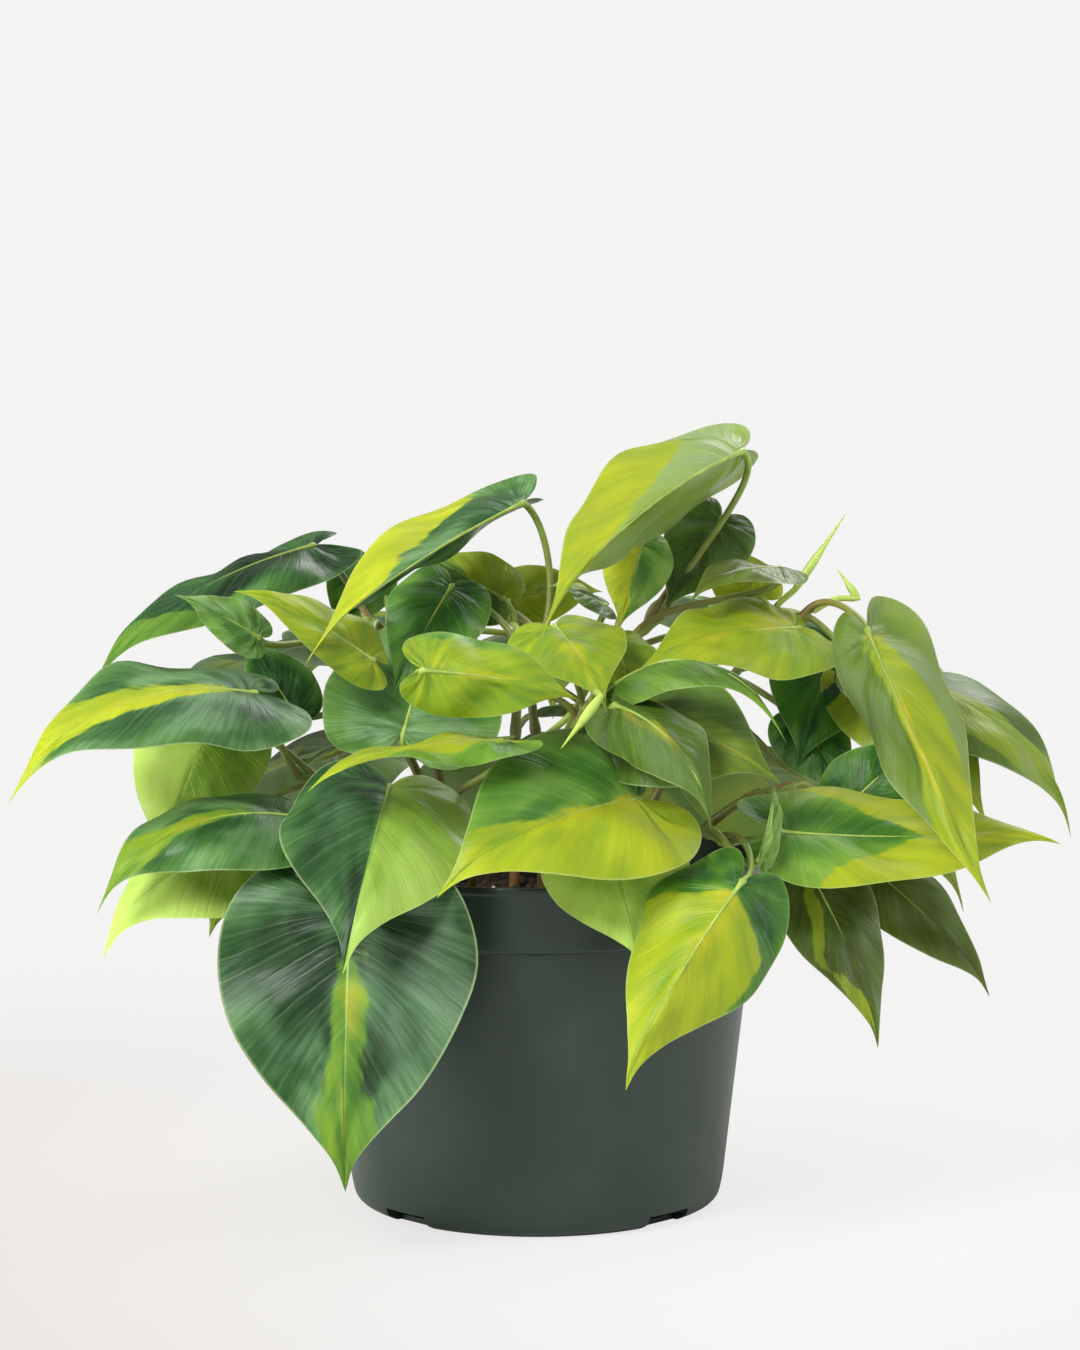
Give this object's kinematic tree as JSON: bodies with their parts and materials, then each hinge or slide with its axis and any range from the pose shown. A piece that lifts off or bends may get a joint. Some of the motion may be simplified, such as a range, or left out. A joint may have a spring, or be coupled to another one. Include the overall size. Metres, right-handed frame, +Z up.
{
  "type": "potted brasil philodendron",
  "caption": "Bushy trailing philodendron with heart-shaped green leaves striped lime and yellow, in a round tapered dark plastic nursery pot.",
  "frame": {"origin": "centre of the pot's flat underside", "axes": "+Z up along the pot's axis, -Y towards the viewer of the picture (the front), +X to that viewer's right"},
  "size_m": [0.3665, 0.2705, 0.2714],
  "materials": {
    "pot_plastic": "dark grey-green moulded polypropylene, satin",
    "soil": "moist peat mix with bark crumbs and a few white grains",
    "foliage": "soft satin leaf skin, dark green with lime and yellow stripes, on pale green stalks"
  },
  "bodies": {
    "root": {"pot": "pot_plastic", "soil": "soil", "stem_front_left": "foliage", "stem_front_middle": "foliage", "stem_front_right": "foliage", "stem_right": "foliage", "stem_right_high": "foliage", "stem_top": "foliage", "stem_left": "foliage", "stem_left_high": "foliage", "stem_middle": "foliage", "stem_back_left": "foliage", "stem_back_middle": "foliage", "stem_back_right": "foliage"}
  },
  "joints": []
}
